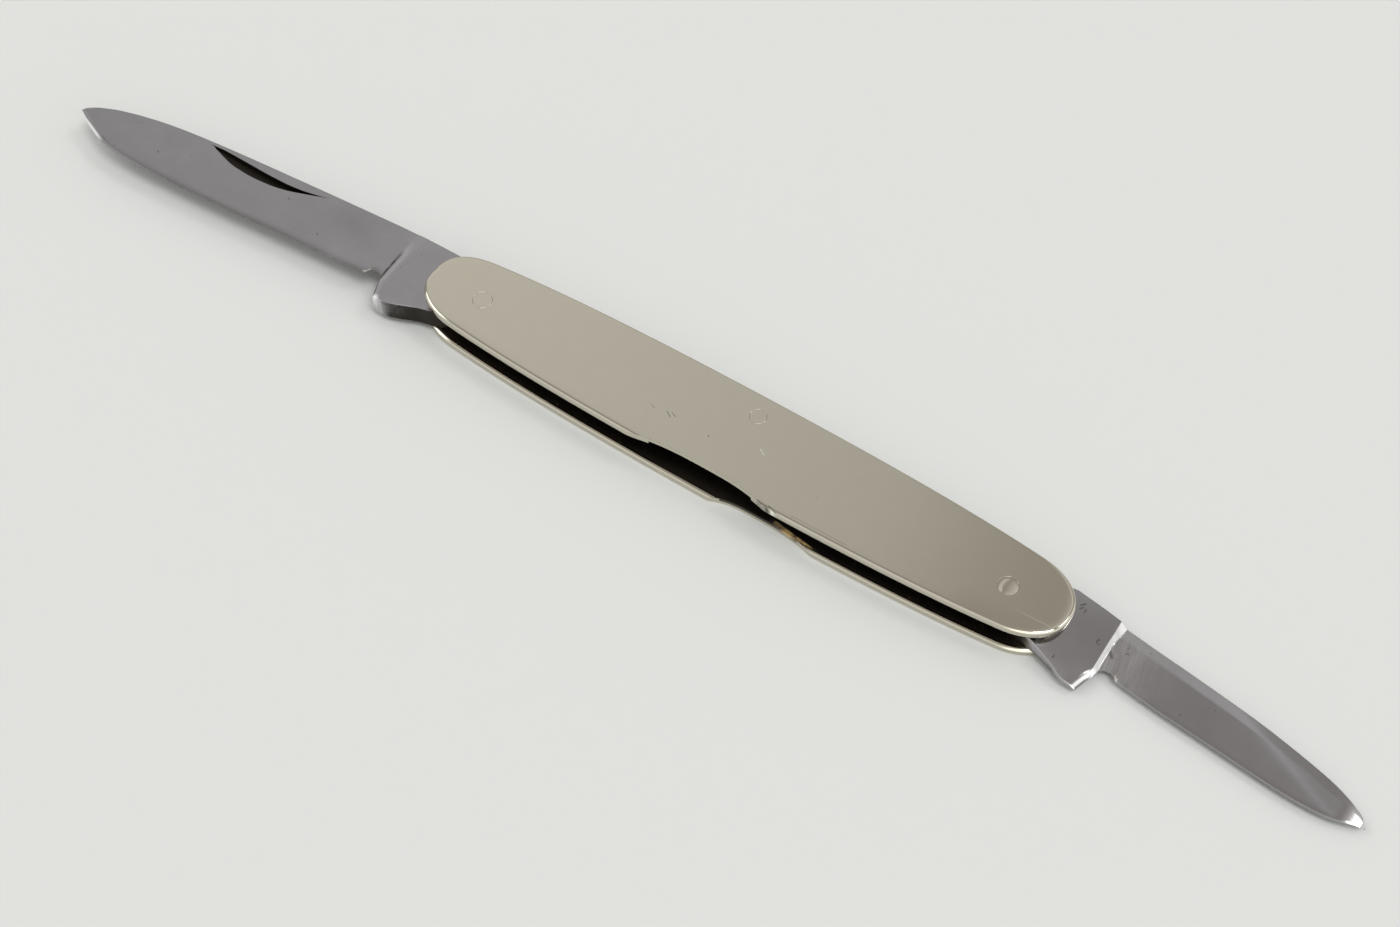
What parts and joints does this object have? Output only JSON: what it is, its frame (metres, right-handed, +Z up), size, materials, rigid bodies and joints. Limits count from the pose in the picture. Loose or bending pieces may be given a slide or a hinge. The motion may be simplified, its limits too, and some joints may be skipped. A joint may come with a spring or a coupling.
{
  "type": "pen knife",
  "caption": "Slim all-metal pen knife, lying open: a main blade and a smaller pen blade fold from opposite ends of the handle into its slot, held by a back spring.",
  "frame": {"origin": "centre of the flat face of the pile side shell, which the knife lies on", "axes": "+X along the handle towards the pen blade, +Y towards the back of the knife, +Z up towards the mark side"},
  "size_m": [0.1552, 0.0116, 0.0042],
  "materials": {
    "nickel_silver": "worn polish with fine scratches",
    "brass": "dull",
    "spring_steel": "satin",
    "main_blade_steel": "glazed, lightly worn",
    "pen_blade_steel": "glazed, lightly worn",
    "pin_metal": "worn polish"
  },
  "bodies": {
    "handle": {"mark_side_shell": "nickel_silver", "mark_side_liner": "brass", "pile_side_shell": "nickel_silver", "pile_side_liner": "brass", "backspring": "spring_steel", "main_pivot_pin": "pin_metal", "pen_pivot_pin": "pin_metal", "spring_pin": "pin_metal"},
    "main_blade": {"main_blade": "main_blade_steel"},
    "pen_blade": {"pen_blade": "pen_blade_steel"}
  },
  "joints": [
    {"name": "main_blade_hinge", "type": "hinge", "parent": "handle", "child": "main_blade", "pos_m": [-0.0313, 0, 0.0021], "axis": [0, 0, 1], "range_deg": [0, 173]},
    {"name": "pen_blade_hinge", "type": "hinge", "parent": "handle", "child": "pen_blade", "pos_m": [0.0313, 0, 0.0021], "axis": [0, 0, -1], "range_deg": [0, 171]}
  ]
}
